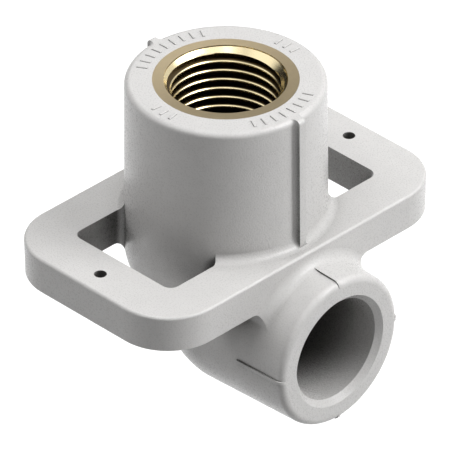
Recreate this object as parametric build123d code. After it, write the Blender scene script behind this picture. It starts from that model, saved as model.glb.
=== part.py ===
from build123d import *
import math
import os

# Wall plate elbow: a moulded body with a fusion socket, a fixing plate and a
# collar, and a threaded brass insert that the moulding holds in the collar.
# Millimetres. The origin is where the collar's axis crosses the plate's front
# face. +Z points along the collar's axis, away from the wall, +X runs along
# the plate, and the pipe socket opens towards -Y behind the plate.

# Fixing plate
plate_length = 68.3
plate_width = 40.8
plate_thickness = 6.7
plate_corner_radius = 10.2
plate_side_draft = 1.0
plate_edge_round = 0.5
screw_hole_spacing = 59.8
screw_hole_radius = 1.1
window_near_x = 13.25
window_far_x = 24.95
window_width = 23.7
window_corner_radius = 1.8

# Collar around the insert, and the rounded heel it ends in behind the plate
collar_height = 25.5
collar_radius = 17.45
collar_draft = 0.5
collar_edge_round = 1.0
collar_root_fillet = 1.6
heel_start_depth = 7.1
heel_round = 8.7
collar_rib_width = 1.35
collar_rib_height = 1.05
collar_rib_round = 0.8
collar_rib_root_fillet = 0.6

# Fusion socket
socket_axis_depth = 17.2
socket_reach = 27.4
socket_mouth_radius = 14.0
socket_draft = 2.0
socket_mouth_round = 1.25
socket_ball_offset = 6.0
socket_plate_fillet = 2.0
elbow_blend = 6.0
socket_bore_radius = 9.5
socket_depth = 14.5
socket_lead_in = 1.0
guide_rib_count = 4
guide_rib_width = 0.6
guide_rib_height = 0.3
guide_rib_length = 10.4

# Water way between the insert and the socket
passage_radius = 6.75

# Brass insert with a half inch parallel pipe thread
insert_height = 19.0
insert_head_radius = 12.5
insert_head_height = 3.2
insert_core_radius = 11.3
insert_groove_height = 1.9
insert_band_radius = 12.3
insert_band_height = 6.5
insert_tooth_count = 16
insert_tooth_depth = 0.5
thread_major_diameter = 20.955
thread_depth = 1.162
thread_mouth_radius = 10.55
thread_mouth_step = 0.25

# Two points closer together than this count as one
same_place = 0.01

# Places that follow from the sizes above
thread_minor_radius = thread_major_diameter / 2 - thread_depth
insert_foot_z = collar_height - insert_height
socket_root_reach = socket_reach - socket_depth
socket_plane = Plane(origin=(0, 0, -socket_axis_depth), x_dir=(0, -1, 0), z_dir=(-1, 0, 0))
socket_axis = Axis((0, 0, -socket_axis_depth), (0, -1, 0))


def collar_radius_at(z):
    """Radius of the collar's drafted wall at the height z above the plate's face."""
    return collar_radius - z * math.tan(math.radians(collar_draft))


def socket_radius_at(reach):
    """Radius of the socket's drafted wall at a distance from the collar's axis."""
    return socket_mouth_radius + (socket_reach - reach) * math.tan(math.radians(socket_draft))


def make_collar():
    """Drafted collar that runs through the plate and ends in a rounded heel."""
    slope = math.radians(collar_draft)
    top = Line((0, collar_height), (collar_radius_at(collar_height), collar_height))
    wall = Line(top @ 1, (collar_radius_at(-heel_start_depth), -heel_start_depth))
    heel = JernArc(wall @ 1, (math.sin(slope), -math.cos(slope)), heel_round, -90 - collar_draft)
    floor = Line(heel @ 1, (0, (heel @ 1).Y))
    centre = Line(floor @ 1, top @ 0)
    section = make_face([top, wall, heel, floor, centre])
    rim = section.vertices().sort_by_distance(top @ 1)[0]
    return revolve(Plane.XZ * fillet(rim, collar_edge_round), Axis.Z)


def make_socket_shell():
    """Drafted socket wall with a ball end that turns the corner under the collar."""
    slope = math.radians(socket_draft)
    radius = socket_radius_at(socket_ball_offset) * math.cos(slope)
    ball = CenterArc((socket_ball_offset, 0), radius, 90 - socket_draft, 90 + socket_draft)
    wall = Line(ball @ 0, (socket_reach, socket_mouth_radius))
    mouth = Line(wall @ 1, (socket_reach, 0))
    centre = Line(mouth @ 1, ball @ 1)
    section = make_face([ball, wall, mouth, centre])
    rim = section.vertices().sort_by_distance(wall @ 1)[0]
    return revolve(socket_plane * fillet(rim, socket_mouth_round), socket_axis)


def make_elbow():
    """Collar and socket in one, with a soft blend where they meet."""
    collar = make_collar()
    socket = make_socket_shell()
    elbow = collar + socket
    return fillet(new_edges(collar, socket, combined=elbow), elbow_blend)


def make_plate():
    """Fixing plate with drafted sides and a rounded front edge."""
    outline = RectangleRounded(plate_length, plate_width, plate_corner_radius)
    plate = extrude(outline, -plate_thickness, taper=plate_side_draft)
    front = plate.faces().sort_by(Axis.Z)[-1]
    return fillet(front.edges(), plate_edge_round)


def join_plate(elbow, plate):
    """Elbow and plate in one, with the fillets round the collar and the socket."""
    body = elbow + plate
    seams = new_edges(elbow, plate, combined=body)
    front = seams.filter_by_position(Axis.Z, -same_place, same_place)
    back = [edge for edge in seams if edge not in front]
    body = fillet(back, socket_plate_fillet)
    middles = [seam @ 0.5 for seam in front]
    front = [
        edge for edge in body.edges() if any((edge @ 0.5 - spot).length < same_place for spot in middles)
    ]
    return fillet(front, collar_root_fillet)


def cut_windows(body, elbow):
    """Cut the two windows beside the collar, and put the collar's wall back in them."""
    outline = RectangleRounded(window_far_x - window_near_x, window_width, window_corner_radius)
    middle = (window_far_x + window_near_x) / 2
    reach = plate_thickness + socket_plate_fillet + collar_root_fillet
    window = extrude(outline, reach, both=True)
    for side in (-1, 1):
        body -= Pos(side * middle, 0, 0) * window
    return body + elbow


def make_screw_holes():
    """Cutter for the two screw holes at the ends of the plate."""
    hole = Cylinder(screw_hole_radius, 2 * plate_thickness)
    return [Pos(side * screw_hole_spacing / 2, 0, -plate_thickness / 2) * hole for side in (-1, 1)]


def make_collar_rib(side):
    """Upright rib on the collar's flank, level with the rim and rounded like it."""
    foot_z = -plate_thickness / 2
    inner = (insert_head_radius + collar_radius) / 2
    foot = (collar_radius_at(foot_z) + collar_rib_height, foot_z)
    tip = (collar_radius_at(collar_height) + collar_rib_height, collar_height)
    section = make_face(Polyline((inner, foot_z), foot, tip, (inner, collar_height), close=True))
    rim = section.vertices().sort_by_distance(tip)[0]
    plane = Plane(origin=(0, 0, 0), x_dir=(0, side, 0), z_dir=(side, 0, 0))
    arc = math.degrees(collar_rib_width / collar_radius)
    return revolve(plane * fillet(rim, collar_rib_round), Axis.Z, arc).rotate(Axis.Z, -arc / 2)


def make_guide_ribs():
    """Thin ribs along the socket that show how far a pipe is turned."""
    start = socket_reach - guide_rib_length
    inner = (socket_bore_radius + socket_mouth_radius) / 2
    foot = (start, socket_radius_at(start) + guide_rib_height)
    tip = (socket_reach, socket_mouth_radius + guide_rib_height)
    section = make_face(Polyline((start, inner), foot, tip, (socket_reach, inner), close=True))
    rim = section.vertices().sort_by_distance(tip)[0]
    arc = math.degrees(guide_rib_width / socket_mouth_radius)
    rib = revolve(socket_plane * fillet(rim, socket_mouth_round), socket_axis, arc)
    turns = [step * 360 / guide_rib_count - arc / 2 for step in range(guide_rib_count)]
    return [rib.rotate(socket_axis, turn) for turn in turns]


def make_water_way():
    """Cutter for the passage from the insert's foot, round the corner, to the socket."""
    upright = Pos(0, 0, -socket_axis_depth) * Cylinder(
        passage_radius, socket_axis_depth + insert_foot_z, align=(Align.CENTER, Align.CENTER, Align.MIN))
    pin_end = Cylinder(passage_radius, 2 * passage_radius)
    corner = Pos(0, 0, -socket_axis_depth) * (pin_end & pin_end.rotate(Axis.X, 90))
    outline = Polyline(
        (0, 0),
        (0, passage_radius),
        (socket_root_reach, passage_radius),
        (socket_root_reach, socket_bore_radius),
        (socket_reach - socket_lead_in, socket_bore_radius),
        (socket_reach, socket_bore_radius + socket_lead_in),
        (socket_reach, 0),
        close=True,
    )
    level = revolve(socket_plane * make_face(outline), socket_axis)
    return upright + corner + level


def make_insert_blank():
    """Outer form of the insert: a round head, and a toothed band between two grooves."""
    up = (Align.CENTER, Align.CENTER, Align.MIN)
    head_z = collar_height - insert_head_height
    band_z = head_z - insert_groove_height - insert_band_height
    core = Pos(0, 0, insert_foot_z) * Cylinder(insert_core_radius, insert_height, align=up)
    head = Pos(0, 0, head_z) * Cylinder(insert_head_radius, insert_head_height, align=up)
    tooth_gap = RegularPolygon(insert_tooth_depth, 4)
    outline = Circle(insert_band_radius) - PolarLocations(insert_band_radius, insert_tooth_count) * tooth_gap
    band = Pos(0, 0, band_z) * extrude(outline, insert_band_height)
    return core + head + band


def make_thread_bore():
    """Cutter for the thread's clear bore with its stepped and bevelled mouth."""
    cone_z = collar_height - thread_mouth_step
    outline = Polyline(
        (0, insert_foot_z),
        (thread_minor_radius, insert_foot_z),
        (thread_minor_radius, cone_z - (thread_mouth_radius - thread_minor_radius)),
        (thread_mouth_radius, cone_z),
        (thread_mouth_radius, collar_height),
        (0, collar_height),
        close=True,
    )
    return revolve(Plane.XZ * make_face(outline), Axis.Z)


def add_collar_rib(body, side):
    """Body with one upright rib and the fillets along the rib's two root lines."""
    rib = make_collar_rib(side)
    joined = body + rib
    roots = [edge for edge in new_edges(body, rib, combined=joined) if edge.length > collar_height / 2]
    return fillet(roots, collar_rib_root_fillet)


def make_moulded_body():
    """The one moulded piece: collar, plate, elbow and socket."""
    elbow = make_elbow()
    body = cut_windows(join_plate(elbow, make_plate()), elbow)
    for side in (-1, 1):
        body = add_collar_rib(body, side)
    body += make_guide_ribs()
    for hole in make_screw_holes():
        body -= hole
    body -= make_insert_blank()
    return body - make_water_way()


def make_brass_insert():
    """The brass insert with a plain bore at the thread's minor diameter."""
    return make_insert_blank() - make_thread_bore()


if __name__ == "__main__":
    os.makedirs("parts", exist_ok=True)
    for name, make in (("moulded_body", make_moulded_body), ("brass_insert", make_brass_insert)):
        piece = make()
        print(name, "solids", len(piece.solids()), "valid", piece.is_valid, "volume", round(piece.volume, 1))
        export_step(piece, f"parts/{name}.step")
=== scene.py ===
"""Looks of a wall plate elbow: a moulded pipe elbow with a threaded brass insert.

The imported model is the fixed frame. The moulded body keeps its own shape and gets its
plastic. The insert is made again with the turns of its pipe thread. Lengths are written
in millimetres and turned into metres where a mesh is made. The frame is the part's own:
the origin lies where the collar's axis crosses the plate's front face, +Z points along
the collar, +X along the plate, and the pipe socket opens towards -Y.
"""

from __future__ import annotations

import logging
import math
from dataclasses import dataclass, field
from enum import Enum

import bmesh
import bpy
from mathutils import Matrix, Vector

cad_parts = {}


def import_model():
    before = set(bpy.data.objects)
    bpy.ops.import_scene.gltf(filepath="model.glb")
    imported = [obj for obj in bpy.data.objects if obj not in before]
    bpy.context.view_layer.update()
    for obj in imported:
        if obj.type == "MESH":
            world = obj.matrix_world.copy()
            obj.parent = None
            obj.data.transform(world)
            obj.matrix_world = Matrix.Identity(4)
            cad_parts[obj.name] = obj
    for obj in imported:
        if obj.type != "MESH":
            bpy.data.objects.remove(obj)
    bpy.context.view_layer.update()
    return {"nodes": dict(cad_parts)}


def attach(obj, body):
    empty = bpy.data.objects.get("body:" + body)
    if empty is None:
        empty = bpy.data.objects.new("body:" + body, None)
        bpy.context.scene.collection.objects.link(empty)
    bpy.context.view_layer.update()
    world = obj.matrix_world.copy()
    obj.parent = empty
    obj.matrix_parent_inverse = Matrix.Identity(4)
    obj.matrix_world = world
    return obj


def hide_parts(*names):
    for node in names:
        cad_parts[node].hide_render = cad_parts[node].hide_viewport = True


LOG = logging.getLogger("wall_plate_elbow")
BODY = "root"

# A millimetre in metres, and a metre in millimetres
MM = 0.001
METRE = 1000.0

# Points of a new mesh that lie closer together than this, in millimetres, are joined
JOINED = 0.0005

# Samples of the node that feels how open a surface is
OPENNESS_SAMPLES = 8

# Places of the Mix node's sockets for colours
MIX_SHARE = 0
MIX_COLOURS = (6, 7)
MIX_RESULT = 2

WHITE = (1.0, 1.0, 1.0, 1.0)

Colour = tuple[float, float, float]
Point = tuple[float, float, float]
Span = tuple[float, float]


class Zone(Enum):
    """Stretches of the insert's surface that are finished in their own way.

    The thread's stretch takes in the bevels at the two ends of the bore.
    """

    FACE = 0
    STEP = 1
    THREAD = 2
    OUTSIDE = 3


class Graph:
    """A node tree, with short calls for the nodes that the finishes and the studio share."""

    def __init__(self, tree: bpy.types.NodeTree) -> None:
        """Work on a node tree."""
        self.tree = tree

    def node(self, kind: str, **settings: object) -> bpy.types.Node:
        """Add a node and set its properties.

        Args:
            kind: The node's type name.
            **settings: Properties of the node, by name.

        Returns:
            The new node.
        """
        made = self.tree.nodes.new(kind)
        for key, value in settings.items():
            setattr(made, key, value)
        return made

    def link(self, source: bpy.types.NodeSocket, target: bpy.types.NodeSocket) -> None:
        """Join one node's output to another node's input."""
        self.tree.links.new(source, target)

    def place(self) -> bpy.types.NodeSocket:
        """Give the point's place on the object, in metres."""
        return self.node("ShaderNodeTexCoord").outputs["Object"]

    def noise(self, size_mm: float, detail: float) -> bpy.types.NodeSocket:
        """Give a noise whose grains are about as large as asked.

        Args:
            size_mm: Size of one grain.
            detail: How many finer layers are added.

        Returns:
            The noise value, from 0 to 1.
        """
        made = self.node("ShaderNodeTexNoise")
        made.inputs["Scale"].default_value = 1.0 / (size_mm * MM)
        made.inputs["Detail"].default_value = detail
        self.link(self.place(), made.inputs["Vector"])
        return made.outputs["Fac"]

    def math(
        self,
        operation: str,
        first: float | bpy.types.NodeSocket,
        second: float | bpy.types.NodeSocket = 0.0,
    ) -> bpy.types.NodeSocket:
        """Add a math node.

        Args:
            operation: The node's operation, such as MULTIPLY.
            first: A number or a socket.
            second: A number or a socket.

        Returns:
            The node's output.
        """
        made = self.node("ShaderNodeMath", operation=operation)
        for socket, value in zip(made.inputs, (first, second)):
            if isinstance(value, (int, float)):
                socket.default_value = value
            else:
                self.link(value, socket)
        return made.outputs[0]

    def ramp(self, value: bpy.types.NodeSocket, low: float, high: float) -> bpy.types.NodeSocket:
        """Stretch a value so that low gives 0 and high gives 1, with soft ends.

        Args:
            value: The socket that is stretched.
            low: Value that becomes 0.
            high: Value that becomes 1.

        Returns:
            The stretched value.
        """
        made = self.node("ShaderNodeMapRange", interpolation_type="SMOOTHSTEP")
        self.link(value, made.inputs["Value"])
        made.inputs["From Min"].default_value = low
        made.inputs["From Max"].default_value = high
        return made.outputs["Result"]

    def blend(
        self,
        share: bpy.types.NodeSocket,
        first: Colour | bpy.types.NodeSocket,
        second: Colour | bpy.types.NodeSocket,
    ) -> bpy.types.NodeSocket:
        """Blend two colours.

        Args:
            share: 0 gives the first colour and 1 the second.
            first: Linear colour, or a socket that gives one.
            second: Linear colour, or a socket that gives one.

        Returns:
            The blended colour.
        """
        made = self.node("ShaderNodeMix", data_type="RGBA")
        self.link(share, made.inputs[MIX_SHARE])
        for place, value in zip(MIX_COLOURS, (first, second)):
            if isinstance(value, tuple):
                made.inputs[place].default_value = (*value, 1.0)
            else:
                self.link(value, made.inputs[place])
        return made.outputs[MIX_RESULT]

    def either(self, *values: bpy.types.NodeSocket) -> bpy.types.NodeSocket:
        """Give the largest of some values.

        Args:
            *values: Two sockets or more.

        Returns:
            The largest value.
        """
        largest = values[0]
        for value in values[1:]:
            largest = self.math("MAXIMUM", largest, value)
        return largest

    def along(self, vector: bpy.types.NodeSocket, direction: Point) -> bpy.types.NodeSocket:
        """Give how far a vector reaches along a direction.

        Args:
            vector: The socket that gives the vector.
            direction: The direction, as a vector of length one.

        Returns:
            The reach, which is a cosine where the vector has length one.
        """
        made = self.node("ShaderNodeVectorMath", operation="DOT_PRODUCT")
        self.link(vector, made.inputs[0])
        made.inputs[1].default_value = direction
        return made.outputs["Value"]

    def facing(self, direction: Point, low: float, high: float) -> bpy.types.NodeSocket:
        """Give how much a ray that meets the world runs in one direction.

        Args:
            direction: The direction, as a vector of length one.
            low: Cosine of the angle at which the value is 0.
            high: Cosine of the angle at which the value is 1.

        Returns:
            The value, from 0 to 1.
        """
        ray = self.node("ShaderNodeTexCoord").outputs["Generated"]
        return self.ramp(self.along(ray, direction), low, high)

    def turned_to(self, direction: Point) -> bpy.types.NodeSocket:
        """Give the cosine of the angle between the surface's normal and a direction."""
        return self.along(self.node("ShaderNodeNewGeometry").outputs["True Normal"], direction)

    def openness(self, reach_mm: float) -> bpy.types.NodeSocket:
        """Give how open the surface is, from 0 deep in a bore to 1 on an outer face.

        Args:
            reach_mm: How far away another surface still counts.

        Returns:
            The openness.
        """
        made = self.node("ShaderNodeAmbientOcclusion", samples=OPENNESS_SAMPLES)
        made.inputs["Distance"].default_value = reach_mm * MM
        return made.outputs["AO"]

    def axis_distance(self) -> bpy.types.NodeSocket:
        """Give the point's distance from the collar's axis.

        Returns:
            The distance in metres.
        """
        flat = self.node("ShaderNodeVectorMath", operation="MULTIPLY")
        flat.inputs[1].default_value = (1.0, 1.0, 0.0)
        self.link(self.place(), flat.inputs[0])
        length = self.node("ShaderNodeVectorMath", operation="LENGTH")
        self.link(flat.outputs[0], length.inputs[0])
        return length.outputs["Value"]

    def height(self) -> bpy.types.NodeSocket:
        """Give the point's height above the plate's front face.

        Returns:
            The height in metres.
        """
        made = self.node("ShaderNodeSeparateXYZ")
        self.link(self.place(), made.inputs[0])
        return made.outputs["Z"]


class MaterialGraph(Graph):
    """The node tree of a new material with one principled shader."""

    def __init__(self, name: str) -> None:
        """Start a material.

        Args:
            name: The material's name.
        """
        self.material = bpy.data.materials.new(name)
        self.material.use_nodes = True
        super().__init__(self.material.node_tree)
        self.tree.nodes.clear()
        self.output = self.node("ShaderNodeOutputMaterial")
        self.shader = self.node("ShaderNodeBsdfPrincipled")
        self.link(self.shader.outputs["BSDF"], self.output.inputs["Surface"])

    def metal(self, colour: bpy.types.NodeSocket, roughness: float) -> None:
        """Make the surface bare metal.

        Args:
            colour: The metal's colour.
            roughness: Roughness of the whole surface.
        """
        self.link(colour, self.shader.inputs["Base Color"])
        self.shader.inputs["Metallic"].default_value = 1.0
        self.shader.inputs["Roughness"].default_value = roughness

    def bump(self, height: bpy.types.NodeSocket, depth_mm: float) -> None:
        """Roughen the surface.

        Args:
            height: Height from 0 to 1.
            depth_mm: Real height of 1.
        """
        made = self.node("ShaderNodeBump")
        made.inputs["Distance"].default_value = depth_mm * MM
        self.link(height, made.inputs["Height"])
        self.link(made.outputs["Normal"], self.shader.inputs["Normal"])


@dataclass(frozen=True)
class PlasticFinish:
    """Warm light grey polypropylene, satin, with the fine grain of a spark-eroded mould.

    Shade is painted into the colour: it falls to a painted dark shade deep in a bore, in a gap
    between two forms and in a tight corner, and each has its reach and the span of openness
    over which it falls. A corner that is turned to the main light gets no painted shade and
    stays bright. Light that the plastic passes on to other surfaces takes the darker bounced
    colour, which dims the light between surfaces and deepens their shade.
    """

    light: Colour = (0.660, 0.650, 0.640)
    dark: Colour = (0.605, 0.597, 0.588)
    bounced: Colour = (0.520, 0.512, 0.502)
    # Dark colour of the painted shade in bores, gaps and corners
    painted_shade: Colour = (0.110, 0.107, 0.103)
    bore_reach_mm: float = 30.0
    bore_open: Span = (0.17, 0.36)
    gap_reach_mm: float = 10.0
    gap_open: Span = (0.40, 0.70)
    corner_reach_mm: float = 2.5
    corner_open: Span = (0.58, 0.95)
    lit_side: Point = (0.493, -0.654, 0.574)
    lit_share: Span = (-0.15, 0.35)
    roughness_low: float = 0.24
    roughness_high: float = 0.32
    refraction: float = 1.49
    mottle_mm: float = 3.0
    mottle_detail: float = 3.0
    grain_mm: float = 0.30
    grain_detail: float = 2.0
    grain_depth_mm: float = 0.042

    def material(self, name: str) -> bpy.types.Material:
        """Make the plastic.

        Args:
            name: The material's name.

        Returns:
            The material.
        """
        graph = MaterialGraph(name)
        mottle = graph.blend(graph.noise(self.mottle_mm, self.mottle_detail), self.dark, self.light)
        in_bore = graph.ramp(graph.openness(self.bore_reach_mm), *self.bore_open)
        in_gap = graph.ramp(graph.openness(self.gap_reach_mm), *self.gap_open)
        in_corner = graph.ramp(graph.openness(self.corner_reach_mm), *self.corner_open)
        lit = graph.ramp(graph.turned_to(self.lit_side), *self.lit_share)
        in_corner = graph.either(in_corner, lit)
        unshaded_share = graph.math("MULTIPLY", graph.math("MULTIPLY", in_bore, in_gap), in_corner)
        # Bounced light meets a darker colour, which dims the light between surfaces and deepens their
        # shade
        second_hand = graph.node("ShaderNodeLightPath").outputs["Is Diffuse Ray"]
        outer = graph.blend(second_hand, mottle, self.bounced)
        # Painted shade: the colour falls to the dark shade where the surface is closed in, unless a
        # corner is turned to the main light
        graph.link(graph.blend(unshaded_share, self.painted_shade, outer), graph.shader.inputs["Base Color"])
        grain = graph.noise(self.grain_mm, self.grain_detail)
        span = self.roughness_high - self.roughness_low
        rough = graph.math("ADD", graph.math("MULTIPLY", grain, span), self.roughness_low)
        graph.link(rough, graph.shader.inputs["Roughness"])
        graph.shader.inputs["IOR"].default_value = self.refraction
        graph.bump(grain, self.grain_depth_mm)
        return graph.material


@dataclass(frozen=True)
class TurnedBrass:
    """Brass as the lathe leaves it, with the fine rings of the cutting tool.

    The face is shaded as if it dipped a little towards the bore.
    """

    colour: Colour = (0.850, 0.700, 0.450)
    worn: float = 0.88
    mottle_mm: float = 1.2
    mottle_detail: float = 2.0
    roughness: float = 0.36
    dish_slope: float = 0.09
    ring_pitch_mm: float = 0.16
    ring_depth_mm: float = 0.004

    def material(self, name: str) -> bpy.types.Material:
        """Make the turned brass.

        Args:
            name: The material's name.

        Returns:
            The material.
        """
        graph = MaterialGraph(name)
        shade = tuple(self.worn * part for part in self.colour)
        mottle = graph.noise(self.mottle_mm, self.mottle_detail)
        graph.metal(graph.blend(mottle, shade, self.colour), self.roughness)
        turns = graph.math("MULTIPLY", graph.axis_distance(), 2 * math.pi / (self.ring_pitch_mm * MM))
        rings = graph.math("MULTIPLY", graph.math("SINE", turns), self.ring_depth_mm * MM)
        dish = graph.math("MULTIPLY", graph.axis_distance(), self.dish_slope)
        # The rings and the dish are in metres already
        graph.bump(graph.math("ADD", rings, dish), METRE)
        return graph.material


@dataclass(frozen=True)
class PolishedBrass:
    """Bright cut brass, for the small step at the mouth of the thread."""

    colour: Colour = (0.880, 0.720, 0.400)
    worn: float = 0.92
    mottle_mm: float = 1.5
    mottle_detail: float = 2.0
    roughness: float = 0.26
    wave_mm: float = 1.0
    wave_detail: float = 1.0
    wave_depth_mm: float = 0.004

    def material(self, name: str) -> bpy.types.Material:
        """Make the polished brass.

        Args:
            name: The material's name.

        Returns:
            The material.
        """
        graph = MaterialGraph(name)
        shade = tuple(self.worn * part for part in self.colour)
        mottle = graph.noise(self.mottle_mm, self.mottle_detail)
        graph.metal(graph.blend(mottle, shade, self.colour), self.roughness)
        graph.bump(graph.noise(self.wave_mm, self.wave_detail), self.wave_depth_mm)
        return graph.material


@dataclass(frozen=True)
class ThreadBrass:
    """Cut brass that is bright on the thread's crests and bevels and dark in its grooves.

    The dark colour of the grooves is painted shade, which deepens with the depth below the
    crests and bevels. The grooves keep the bright colour where the thread runs out at the mouth.
    """

    bright: Colour = (0.900, 0.770, 0.480)
    # Dark colour of the painted shade in the grooves
    groove: Colour = (0.090, 0.062, 0.028)
    roughness: float = 0.22
    bright_depth_mm: float = 0.065
    groove_depth_mm: float = 0.30
    run_out_mm: Span = (0.7, 1.25)
    wave_mm: float = 0.8
    wave_detail: float = 2.0
    wave_depth_mm: float = 0.001

    def material(self, name: str, bore: ThreadedInsert) -> bpy.types.Material:
        """Make the brass of the thread, whose depth counts from the crests and the bevels.

        Args:
            name: The material's name.
            bore: The insert, which gives the sizes of its bore.

        Returns:
            The material.
        """
        graph = MaterialGraph(name)
        height = graph.height()
        from_mouth = graph.math("SUBTRACT", (bore.top - bore.mouth_step) * MM, height)
        from_foot = graph.math("SUBTRACT", height, (bore.top - bore.height) * MM)
        from_end = graph.math("MINIMUM", from_mouth, from_foot)
        bevel = graph.math("SUBTRACT", bore.mouth_radius * MM, from_end)
        land = graph.math("MAXIMUM", bevel, bore.minor_radius * MM)
        depth = graph.math("SUBTRACT", graph.axis_distance(), land)
        # Painted shade: the colour darkens with the depth below the crests and bevels
        deep = graph.ramp(depth, self.bright_depth_mm * MM, self.groove_depth_mm * MM)
        past_run_out = graph.ramp(from_mouth, *(length * MM for length in self.run_out_mm))
        deep = graph.math("MULTIPLY", deep, past_run_out)
        graph.metal(graph.blend(deep, self.bright, self.groove), self.roughness)
        graph.bump(graph.noise(self.wave_mm, self.wave_detail), self.wave_depth_mm)
        return graph.material


@dataclass
class Mesh:
    """Points and faces that are gathered before they become a Blender mesh."""

    points: list[Point] = field(default_factory=list)
    faces: list[tuple[int, ...]] = field(default_factory=list)
    zones: list[int] = field(default_factory=list)

    def add_strip(self, lower: list[Point], upper: list[Point], zone: int) -> None:
        """Join two rows of as many points with quads.

        Args:
            lower: First row, in millimetres.
            upper: Second row, in millimetres.
            zone: Material index of the new faces.
        """
        start = len(self.points)
        count = len(lower)
        self.points.extend(lower)
        self.points.extend(upper)
        for column in range(count - 1):
            first = start + column
            self.faces.append((first, first + 1, first + count + 1, first + count))
            self.zones.append(zone)

    def add_strips(self, rows: list[list[Point]], zone: int) -> None:
        """Join each row of points with the next.

        Args:
            rows: The rows, in millimetres, all with as many points.
            zone: Material index of the new faces.
        """
        for lower, upper in zip(rows, rows[1:]):
            self.add_strip(lower, upper, zone)

    def finish(
        self,
        name: str,
        materials: list[bpy.types.Material],
        sharp_degrees: float,
    ) -> bpy.types.Object:
        """Make the object, with doubled points joined and the shading smoothed.

        Args:
            name: The object's name.
            materials: Materials in the order of the zones.
            sharp_degrees: Edges that turn by more than this stay sharp.

        Returns:
            The new object, linked to the scene.
        """
        data = bpy.data.meshes.new(name)
        scaled = [tuple(part * MM for part in point) for point in self.points]
        data.from_pydata(scaled, [], self.faces)
        data.polygons.foreach_set("material_index", self.zones)
        clean_mesh(data)
        for material in materials:
            data.materials.append(material)
        data.polygons.foreach_set("use_smooth", [True] * len(data.polygons))
        data.set_sharp_from_angle(angle=math.radians(sharp_degrees))
        made = bpy.data.objects.new(name, data)
        bpy.context.scene.collection.objects.link(made)
        return made


def clean_mesh(data: bpy.types.Mesh) -> None:
    """Join doubled points, drop faces without area and turn all faces outwards.

    Args:
        data: The mesh, which is changed.
    """
    work = bmesh.new()
    work.from_mesh(data)
    bmesh.ops.remove_doubles(work, verts=work.verts, dist=JOINED * MM)
    bmesh.ops.dissolve_degenerate(work, edges=work.edges, dist=JOINED * MM)
    bmesh.ops.recalc_face_normals(work, faces=work.faces)
    work.to_mesh(data)
    work.free()


def place_on(piece: bpy.types.Object) -> None:
    """Fix a piece to the part."""
    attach(piece, BODY)


@dataclass
class MouldedBody:
    """The moulded body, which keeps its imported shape."""

    node: bpy.types.Object
    finish: PlasticFinish = field(default_factory=PlasticFinish)

    def build(self) -> bpy.types.Material:
        """Dress the body in its plastic.

        Returns:
            The plastic, for the pieces that are moulded with the body.
        """
        plastic = self.finish.material("moulded_plastic")
        self.node.data.materials.clear()
        self.node.data.materials.append(plastic)
        return plastic


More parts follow.
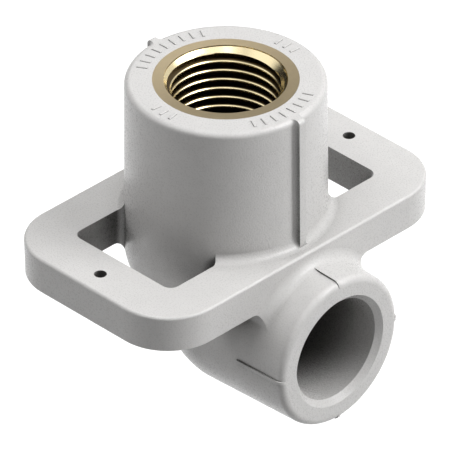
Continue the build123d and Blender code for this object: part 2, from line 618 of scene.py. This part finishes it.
@dataclass
class ThreadedInsert:
    """Brass insert with its toothed outside and a right-handed half inch pipe thread."""

    top: float = 25.5
    height: float = 19.0
    head_radius: float = 12.5
    head_height: float = 3.2
    core_radius: float = 11.3
    groove_height: float = 1.9
    band_radius: float = 12.3
    band_height: float = 6.5
    tooth_count: int = 16
    tooth_depth: float = 0.5
    mouth_radius: float = 10.55
    mouth_step: float = 0.25
    major_radius: float = 10.4775
    minor_radius: float = 9.3155
    pitch: float = 1.814
    thread_start: float = 0.68
    flank_angle: float = 27.5
    round_share: float = 0.137329
    outside_roughness: float = 0.5
    sharp_degrees: float = 30.0
    columns: int = 160
    arc_steps: int = 4
    flank_steps: int = 3

    def crest_round(self) -> float:
        """Radius that rounds the thread's crests and roots."""
        return self.round_share * self.pitch

    def profile(self) -> list[float]:
        """Places along one pitch at which the thread's form is sampled.

        Returns:
            Shares of the pitch from 0 to 1, where 0 is the bottom of a groove.
        """
        edge = self.crest_round() * math.cos(math.radians(self.flank_angle)) / self.pitch
        arc = [edge * step / (self.arc_steps / 2) for step in range(self.arc_steps // 2 + 1)]
        flank_span = 0.5 - 2 * edge
        flank = [edge + flank_span * step / self.flank_steps for step in range(1, self.flank_steps)]
        crest = [0.5 - share for share in reversed(arc)]
        half = arc + flank + crest
        return half + [1 - share for share in reversed(half[1:-1])]

    def thread_radius(self, share: float) -> float:
        """Radius of the thread's surface.

        Args:
            share: Place along the pitch, where 0 and 1 are the bottom of a groove.

        Returns:
            The radius in millimetres.
        """
        away = abs((share + 0.5) % 1.0 - 0.5) * self.pitch
        rounding = self.crest_round()
        slope = math.radians(self.flank_angle)
        edge = rounding * math.cos(slope)
        if away <= edge:
            return self.major_radius - rounding + math.sqrt(rounding**2 - away**2)
        near_crest = self.pitch / 2 - away
        if near_crest <= edge:
            return self.minor_radius + rounding - math.sqrt(rounding**2 - near_crest**2)
        start = self.major_radius - rounding + rounding * math.sin(slope)
        return start - (away - edge) / math.tan(slope)

    def bore_radius(self, share: float, z: float) -> float:
        """Radius of the threaded bore, with the bevels at its two ends.

        Args:
            share: Place along the pitch.
            z: Height in millimetres.

        Returns:
            The radius in millimetres.
        """
        top_bevel = self.mouth_radius - (self.top - self.mouth_step - z)
        foot_bevel = self.mouth_radius - (z - (self.top - self.height))
        return max(self.thread_radius(share), top_bevel, foot_bevel)

    def spot(self, column: int, radius: float, z: float) -> Point:
        """Give a point of a row round the axis.

        Args:
            column: Number of the point in its row. The last of a row is the first again.
            radius: Distance from the axis.
            z: Height.

        Returns:
            The point.
        """
        angle = 2 * math.pi * (column % self.columns) / self.columns
        return radius * math.cos(angle), radius * math.sin(angle), z

    def ring(self, radius: float, z: float) -> list[Point]:
        """A closed row of points at one radius and height."""
        return [self.spot(column, radius, z) for column in range(self.columns + 1)]

    def toothed_ring(self, z: float) -> list[Point]:
        """A closed row of points along the toothed band's outline.

        Args:
            z: Height.

        Returns:
            The row.
        """
        per_tooth = self.columns // self.tooth_count
        row = []
        for column in range(self.columns + 1):
            in_gap = column % per_tooth == 0
            radius = self.band_radius - (self.tooth_depth if in_gap else 0.0)
            row.append(self.spot(column, radius, z))
        return row

    def outside_rows(self) -> list[list[Point]]:
        """Rows of points up the outside, from the mouth at the foot to the head's rim.

        Returns:
            The rows.
        """
        foot = self.top - self.height
        head_z = self.top - self.head_height
        band_top = head_z - self.groove_height
        band_foot = band_top - self.band_height
        return [
            self.ring(self.mouth_radius, foot),
            self.ring(self.core_radius, foot),
            self.ring(self.core_radius, band_foot),
            self.toothed_ring(band_foot),
            self.toothed_ring(band_top),
            self.ring(self.core_radius, band_top),
            self.ring(self.core_radius, head_z),
            self.ring(self.head_radius, head_z),
            self.ring(self.head_radius, self.top),
        ]

    def thread_rows(self) -> list[list[Point]]:
        """Rows of points that climb with the thread, cut off at the bore's two ends.

        Returns:
            The rows, from the foot to the mouth.
        """
        shares = self.profile()
        foot = self.top - self.height
        mouth = self.top - self.mouth_step
        start = foot + self.thread_start - self.pitch
        turns = math.ceil((mouth - start) / self.pitch) + 1
        rows = []
        for step in range(turns * len(shares) + 1):
            lap, place = divmod(step, len(shares))
            row = []
            for column in range(self.columns + 1):
                lead = column / self.columns
                z = start + (lap - 1 + shares[place] + lead) * self.pitch
                clipped = min(max(z, foot), mouth)
                share = (clipped - start) / self.pitch - lead
                row.append(self.spot(column, self.bore_radius(share, clipped), clipped))
            rows.append(row)
        return rows

    def build(self) -> bpy.types.Object:
        """Make the insert in place of the plain one.

        Returns:
            The insert.
        """
        mesh = Mesh()
        outside = self.outside_rows()
        mesh.add_strips(outside, Zone.OUTSIDE.value)
        rim = self.ring(self.mouth_radius, self.top)
        mesh.add_strip(outside[-1], rim, Zone.FACE.value)
        step_foot = self.ring(self.mouth_radius, self.top - self.mouth_step)
        mesh.add_strip(rim, step_foot, Zone.STEP.value)
        mesh.add_strips(self.thread_rows(), Zone.THREAD.value)
        finishes = {
            Zone.FACE: TurnedBrass().material("turned_brass_face"),
            Zone.STEP: PolishedBrass().material("polished_brass_step"),
            Zone.THREAD: ThreadBrass().material("cut_brass_thread", self),
            Zone.OUTSIDE: TurnedBrass(roughness=self.outside_roughness).material("brass_outside"),
        }
        piece = mesh.finish("threaded_insert", [finishes[zone] for zone in Zone], self.sharp_degrees)
        place_on(piece)
        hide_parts("brass_insert")
        return piece


@dataclass
class IndexMarks:
    """Plain raised ticks in four groups round the top of the collar.

    A group has the direction of its middle, in degrees, and its number of ticks.
    """

    face_z: float = 25.5
    inner_radius: float = 13.7
    length: float = 1.9
    width: float = 0.44
    height: float = 0.18
    upright_share: float = 0.5
    top_shrink: float = 0.08
    sharp_degrees: float = 40.0
    step_degrees: float = 7.5
    groups: tuple[tuple[float, int], ...] = ((91.0, 9), (0.0, 3), (180.0, 3), (-90.0, 8))

    def tick(self, mesh: Mesh, angle: float) -> None:
        """Add one raised tick, narrower at its top than at its foot.

        Args:
            mesh: The mesh that the tick is added to.
            angle: Direction of the tick from the axis, in radians.
        """
        along = Vector((math.cos(angle), math.sin(angle), 0.0))
        across = Vector((-math.sin(angle), math.cos(angle), 0.0))
        rows = []
        levels = ((0.0, 0.0), (0.0, self.upright_share * self.height), (self.top_shrink, self.height))
        for shrink, z in levels:
            near = self.inner_radius + shrink
            far = self.inner_radius + self.length - shrink
            half = self.width / 2 - shrink
            lift = Vector((0.0, 0.0, self.face_z + z))
            corners = ((near, -half), (far, -half), (far, half), (near, half), (near, -half))
            rows.append([tuple(along * out + across * side + lift) for out, side in corners])
        mesh.add_strips(rows, 0)
        for row in (rows[0], rows[-1]):
            mesh.add_strip([row[0], row[1]], [row[3], row[2]], 0)

    def build(self, plastic: bpy.types.Material) -> bpy.types.Object:
        """Make all ticks as one piece.

        Args:
            plastic: The body's own plastic.

        Returns:
            The ticks.
        """
        mesh = Mesh()
        for middle, count in self.groups:
            for index in range(count):
                turn = middle + (index - (count - 1) / 2) * self.step_degrees
                self.tick(mesh, math.radians(turn))
        piece = mesh.finish("index_marks", [plastic], self.sharp_degrees)
        place_on(piece)
        return piece


@dataclass(frozen=True)
class Panel:
    """A bright field of the studio that only mirrored rays see.

    The direction points from the part to the panel's middle. Edge and core are cosines of
    the angle from it: the panel fades in at the edge and is at its full level in the core.
    """

    direction: Point
    edge: float
    core: float
    level: float


@dataclass(frozen=True)
class Lamp:
    """A soft round lamp that faces the part.

    The azimuth counts from +X towards +Y and the elevation from the horizon, in degrees, the
    size is the lamp's width in millimetres, and a lamp that isn't mirrored leaves no glare on
    the brass and the plastic.
    """

    name: str
    azimuth: float
    elevation: float
    size: float
    watts: float
    mirrored: bool


@dataclass
class Studio:
    """Pale floor, soft lamps and the camera.

    The floor sends light back to the part in its lit colour. The camera and mirrored rays
    meet its seen colour, with a faint glow on top.
    """

    floor_z: float = -90.0
    floor_size: float = 6000.0
    floor_lit: Colour = (0.31, 0.31, 0.31)
    floor_seen: Colour = (0.80, 0.80, 0.80)
    floor_glow: float = 0.35
    floor_roughness: float = 0.9
    floor_sharp_degrees: float = 30.0
    ambient: float = 0.02
    panels: tuple[Panel, ...] = (
        Panel((-0.06, -0.70, 0.71), 0.10, 0.85, 1.2),
        Panel((-0.62, 0.45, 0.64), 0.80, 0.97, 1.2),
        Panel((0.61, 0.0, 0.79), 0.55, 0.95, 0.86),
        Panel((0.583, -0.561, 0.588), 0.93, 0.985, 3.0),
        Panel((0.972, -0.085, 0.217), 0.88, 0.97, 0.8),
    )
    lamp_distance: float = 900.0
    lamps: tuple[Lamp, ...] = (
        Lamp("key_lamp_low", -53.0, 24.0, 450.0, 4.7, False),
        Lamp("key_lamp_high", -53.0, 54.0, 450.0, 2.8, True),
        Lamp("back_lamp", 150.0, 73.0, 600.0, 4.0, False),
        Lamp("top_lamp", 30.0, 70.0, 600.0, 1.6, False),
        Lamp("rim_lamp", 110.0, 20.0, 600.0, 1.4, False),
        Lamp("front_lamp", -138.0, 48.0, 300.0, 0.60, True),
    )
    target: Point = (-4.68, -4.41, 0.0)
    distance: float = 1360.9
    azimuth: float = -44.663
    elevation: float = 34.14
    roll: float = -0.199
    lens: float = 639.9
    sensor_width: float = 36.0
    clip_metres: Span = (0.05, 20.0)

    def world(self) -> None:
        """Light the part faintly, look white to the camera and show the panels to mirrored rays."""
        world = bpy.data.worlds.new("studio")
        bpy.context.scene.world = world
        world.use_nodes = True
        graph = Graph(world.node_tree)
        back = graph.tree.nodes["Background"]
        path = graph.node("ShaderNodeLightPath")
        strength = graph.either(path.outputs["Is Camera Ray"], path.outputs["Is Transmission Ray"])
        for panel in self.panels:
            field_share = graph.facing(panel.direction, panel.edge, panel.core)
            shown = graph.math("MULTIPLY", field_share, panel.level)
            mirrored = graph.math("MULTIPLY", path.outputs["Is Glossy Ray"], shown)
            strength = graph.either(strength, mirrored)
        strength = graph.math("MAXIMUM", strength, self.ambient)
        graph.link(strength, back.inputs["Strength"])
        back.inputs["Color"].default_value = WHITE

    def floor(self) -> None:
        """Lay a pale floor that looks white, keeps the part's shadow and is clear from below."""
        half = self.floor_size / 2
        near = [(-half, -half, self.floor_z), (half, -half, self.floor_z)]
        far = [(-half, half, self.floor_z), (half, half, self.floor_z)]
        mesh = Mesh()
        mesh.add_strip(near, far, 0)
        graph = MaterialGraph("pale_floor")
        graph.shader.inputs["Roughness"].default_value = self.floor_roughness
        graph.shader.inputs["Emission Color"].default_value = WHITE
        path = graph.node("ShaderNodeLightPath").outputs
        seen = graph.either(path["Is Camera Ray"], path["Is Glossy Ray"], path["Is Transmission Ray"])
        colour = graph.blend(seen, self.floor_lit, self.floor_seen)
        graph.link(colour, graph.shader.inputs["Base Color"])
        glow = graph.math("MULTIPLY", seen, self.floor_glow)
        graph.link(glow, graph.shader.inputs["Emission Strength"])
        one_sided = graph.node("ShaderNodeMixShader")
        graph.link(graph.node("ShaderNodeNewGeometry").outputs["Backfacing"], one_sided.inputs[0])
        graph.link(graph.shader.outputs["BSDF"], one_sided.inputs[1])
        graph.link(graph.node("ShaderNodeBsdfTransparent").outputs["BSDF"], one_sided.inputs[2])
        graph.link(one_sided.outputs["Shader"], graph.output.inputs["Surface"])
        mesh.finish("pale_floor", [graph.material], self.floor_sharp_degrees)

    def hang(self, lamp: Lamp) -> None:
        """Hang one lamp at the lamps' distance from the origin.

        Args:
            lamp: The lamp.
        """
        data = bpy.data.lights.new(lamp.name, "AREA")
        data.shape = "DISK"
        data.size = lamp.size * MM
        data.energy = lamp.watts
        made = bpy.data.objects.new(lamp.name, data)
        turn, rise = math.radians(lamp.azimuth), math.radians(lamp.elevation)
        away = Vector((math.cos(turn) * math.cos(rise), math.sin(turn) * math.cos(rise), math.sin(rise)))
        made.location = away * self.lamp_distance * MM
        made.rotation_mode = "QUATERNION"
        made.rotation_quaternion = away.to_track_quat("Z", "Y")
        made.visible_glossy = lamp.mirrored
        bpy.context.scene.collection.objects.link(made)

    def camera(self) -> None:
        """Set the camera where the photograph was taken from."""
        turn, rise, roll = (math.radians(value) for value in (self.azimuth, self.elevation, self.roll))
        back = Vector((math.sin(turn) * math.cos(rise), -math.cos(turn) * math.cos(rise), math.sin(rise)))
        right = Vector((math.cos(turn), math.sin(turn), 0.0))
        up = back.cross(right)
        across = right * math.cos(roll) + up * math.sin(roll)
        upright = up * math.cos(roll) - right * math.sin(roll)
        data = bpy.data.cameras.new("camera")
        data.lens = self.lens
        data.sensor_width = self.sensor_width
        data.clip_start, data.clip_end = self.clip_metres
        made = bpy.data.objects.new("camera", data)
        place = (Vector(self.target) + back * self.distance) * MM
        turned = Matrix((across, upright, back)).transposed().to_4x4()
        made.matrix_world = Matrix.Translation(place) @ turned
        bpy.context.scene.collection.objects.link(made)
        bpy.context.scene.camera = made

    def build(self) -> None:
        """Set up the whole studio."""
        bpy.context.scene.view_settings.view_transform = "Standard"
        self.world()
        self.floor()
        for lamp in self.lamps:
            self.hang(lamp)
        self.camera()


def main() -> None:
    """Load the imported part, dress it and set it in the studio."""
    logging.basicConfig(level=logging.INFO, format="%(name)s %(message)s")
    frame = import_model()
    body = MouldedBody(frame["nodes"]["moulded_body"])
    plastic = body.build()
    insert = ThreadedInsert().build()
    marks = IndexMarks().build(plastic)
    for piece in (body.node, insert, marks):
        LOG.info("%s: %d faces", piece.name, len(piece.data.polygons))
    Studio().build()


if __name__ == "__main__":
    main()
